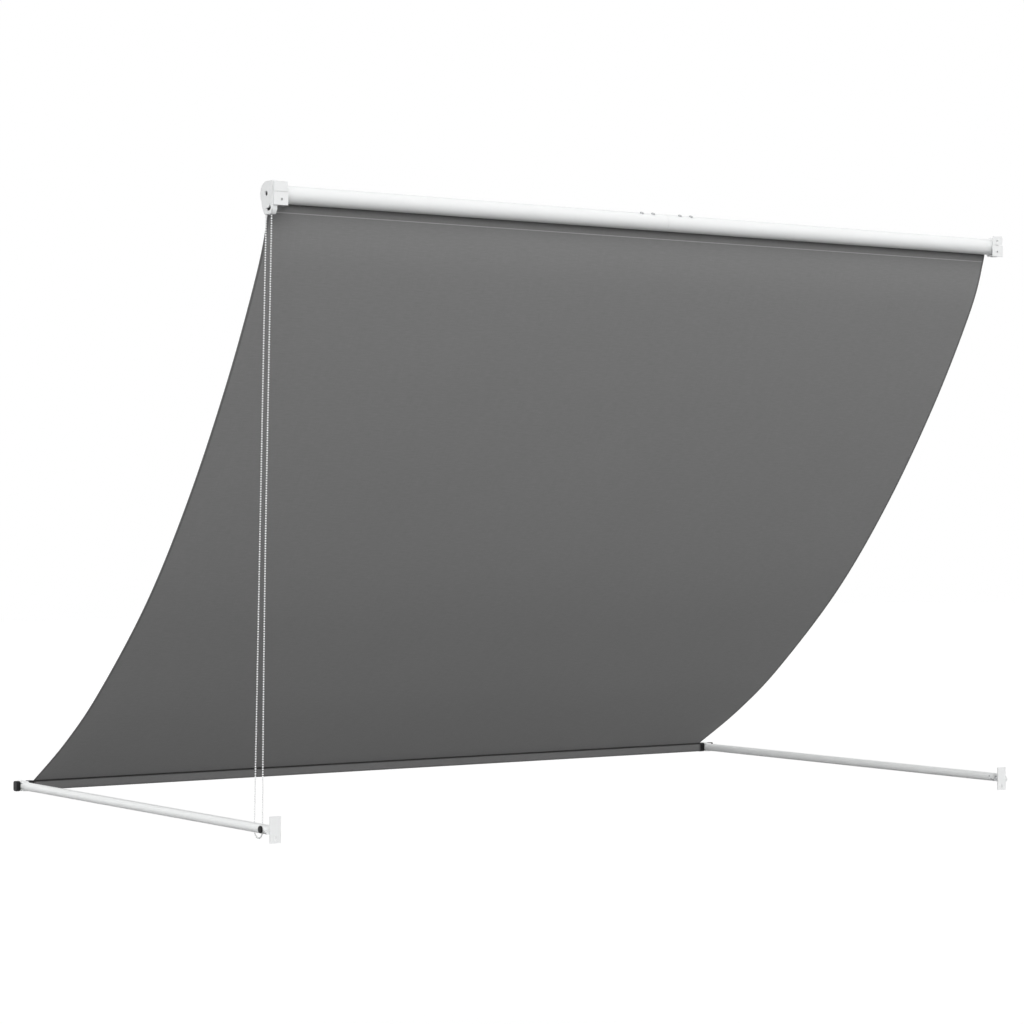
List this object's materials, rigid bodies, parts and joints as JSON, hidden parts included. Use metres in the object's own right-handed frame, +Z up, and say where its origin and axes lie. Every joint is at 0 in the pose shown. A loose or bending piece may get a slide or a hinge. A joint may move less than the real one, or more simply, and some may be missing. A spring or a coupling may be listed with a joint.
{
  "type": "drop-arm awning",
  "caption": "Wall-mounted drop-arm awning: dark cloth on a chain-driven roller, its front bar carried by two swinging arms on wall brackets.",
  "frame": {"origin": "on the wall plane, at the height of the roller's axis, in the middle of the span", "axes": "+X along the roller, away from the chain drive; +Y straight out from the wall; +Z up"},
  "size_m": [2.1068, 1.1943, 1.353],
  "materials": {
    "white_paint": "satin white powder coat",
    "white_plastic": "satin white moulding",
    "chain_plastic": "smooth white beads",
    "cloth": "woven grey polyester",
    "black_plastic": "black moulding",
    "steel": "zinc-plated",
    "aluminium": "mill finish"
  },
  "bodies": {
    "mounting": {"bracket_drive": "white_paint", "bracket_idle": "white_paint", "drive_housing": "white_plastic", "drive_cover": "white_plastic", "clutch_spring": "steel", "case_screw_1": "steel", "case_screw_2": "steel", "idle_pin": "steel", "canopy": "cloth", "pull_chain": "chain_plastic", "arm_bracket_left": "white_paint", "arm_bracket_right": "white_paint", "pivot_bolt_left": "steel", "pivot_bolt_right": "steel", "pivot_knob_left": "black_plastic", "pivot_knob_right": "black_plastic"},
    "roller": {"roller_tube_left": "white_paint", "roller_tube_right": "white_paint", "tube_coupler": "aluminium", "coupler_screw_1": "steel", "coupler_screw_2": "steel", "coupler_screw_3": "steel", "coupler_screw_4": "steel", "drive_wheel": "white_plastic", "idle_plug": "white_plastic", "cloth_strip": "aluminium"},
    "arm_frame": {"arm_left": "white_paint", "arm_right": "white_paint", "arm_fitting_left": "white_plastic", "arm_fitting_right": "white_plastic", "arm_tip_left": "white_plastic", "arm_tip_right": "white_plastic", "arm_rivet_left_1": "steel", "arm_rivet_left_2": "steel", "arm_rivet_right_1": "steel", "arm_rivet_right_2": "steel", "bar_plug_left": "black_plastic", "bar_plug_right": "black_plastic", "bar_cap_left": "black_plastic", "bar_cap_right": "black_plastic", "front_bar": "aluminium"}
  },
  "joints": [
    {"name": "arm_swing", "type": "hinge", "parent": "mounting", "child": "arm_frame", "pos_m": [0, 0.019, -1.3], "axis": [1, 0, 0], "range_deg": [0, 88], "deforming": ["canopy"]},
    {"name": "roller_turn", "type": "hinge", "parent": "mounting", "child": "roller", "pos_m": [0, 0.028, 0], "axis": [1, 0, 0], "range_deg": [0, 3960]}
  ],
  "couplings": [
    {"joint": "roller_turn", "follows": "arm_swing", "ratio": 45}
  ]
}
